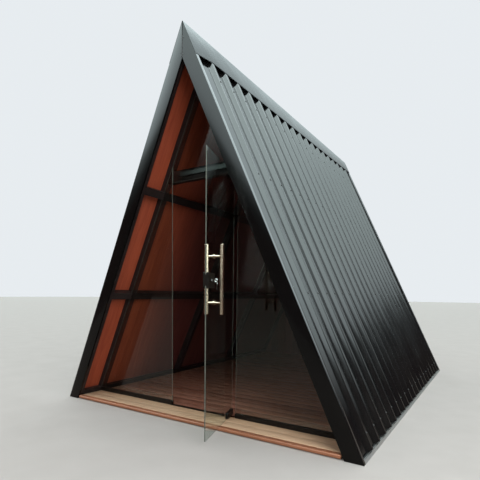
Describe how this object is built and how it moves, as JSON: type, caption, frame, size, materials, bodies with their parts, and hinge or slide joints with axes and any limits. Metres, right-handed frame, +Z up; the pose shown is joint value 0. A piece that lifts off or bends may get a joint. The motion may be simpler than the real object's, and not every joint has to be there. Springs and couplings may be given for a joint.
{
  "type": "a-frame cabin",
  "caption": "Small A-frame cabin: timber frames under a ribbed steel roof that runs down to the ground, with a glass front and a frameless glass door set back behind a porch.",
  "frame": {"origin": "on the ground, on the centre line, halfway along the cabin", "axes": "+X to the right seen from the front, +Y from the front to the back, +Z up"},
  "size_m": [3.1178, 4.4164, 3.3],
  "materials": {
    "timber": "dark stained, matt",
    "lining": "reddish brown stained sheets, satin",
    "roof": "charcoal grey, glossy",
    "trim": "charcoal grey, glossy",
    "trim_light": "grey, satin",
    "base": "rough",
    "porch": "oiled, satin",
    "floor": "varnished, glossy",
    "nosing": "varnished, satin",
    "glass": "clear, polished",
    "black_metal": "black, satin",
    "aluminium": "satin",
    "steel": "brushed"
  },
  "bodies": {
    "cabin": {"front_rafter_left": "timber", "front_rafter_right": "timber", "glazed_rafter_left": "timber", "glazed_rafter_right": "timber", "middle_rafters_left": "timber", "middle_rafters_right": "timber", "rear_rafter_left": "timber", "rear_rafter_right": "timber", "upper_purlins_left": "timber", "upper_purlins_right": "timber", "lower_purlins_left": "timber", "lower_purlins_right": "timber", "foot_plates_left": "timber", "foot_plates_right": "timber", "lining_left": "lining", "lining_right": "lining", "roof_sheets_left": "roof", "roof_sheets_right": "roof", "front_verge_flashing_left": "trim", "front_verge_flashing_right": "trim", "rear_verge_flashing_left": "trim", "rear_verge_flashing_right": "trim", "eaves_flashing_left": "trim_light", "eaves_flashing_right": "trim_light", "header": "timber", "ridge_cap": "roof", "floor_base": "base", "porch_boards": "porch", "floor_boards": "floor", "floor_nosing": "nosing", "rear_wall": "lining", "left_pane": "glass", "right_pane": "glass", "transom_pane": "glass", "pane_rails": "black_metal", "transom_clamp": "aluminium", "threshold": "black_metal", "floor_pivot": "steel", "top_pivot": "steel"},
    "door": {"door_glass": "glass", "bottom_patch": "black_metal", "top_patch": "black_metal", "door_lock": "black_metal", "outer_pull": "steel", "inner_pull": "steel"}
  },
  "joints": [
    {"name": "door_hinge", "type": "hinge", "parent": "cabin", "child": "door", "pos_m": [0.307, -1.744, 1.08], "axis": [0, 0, -1], "range_deg": [0, 108]}
  ]
}
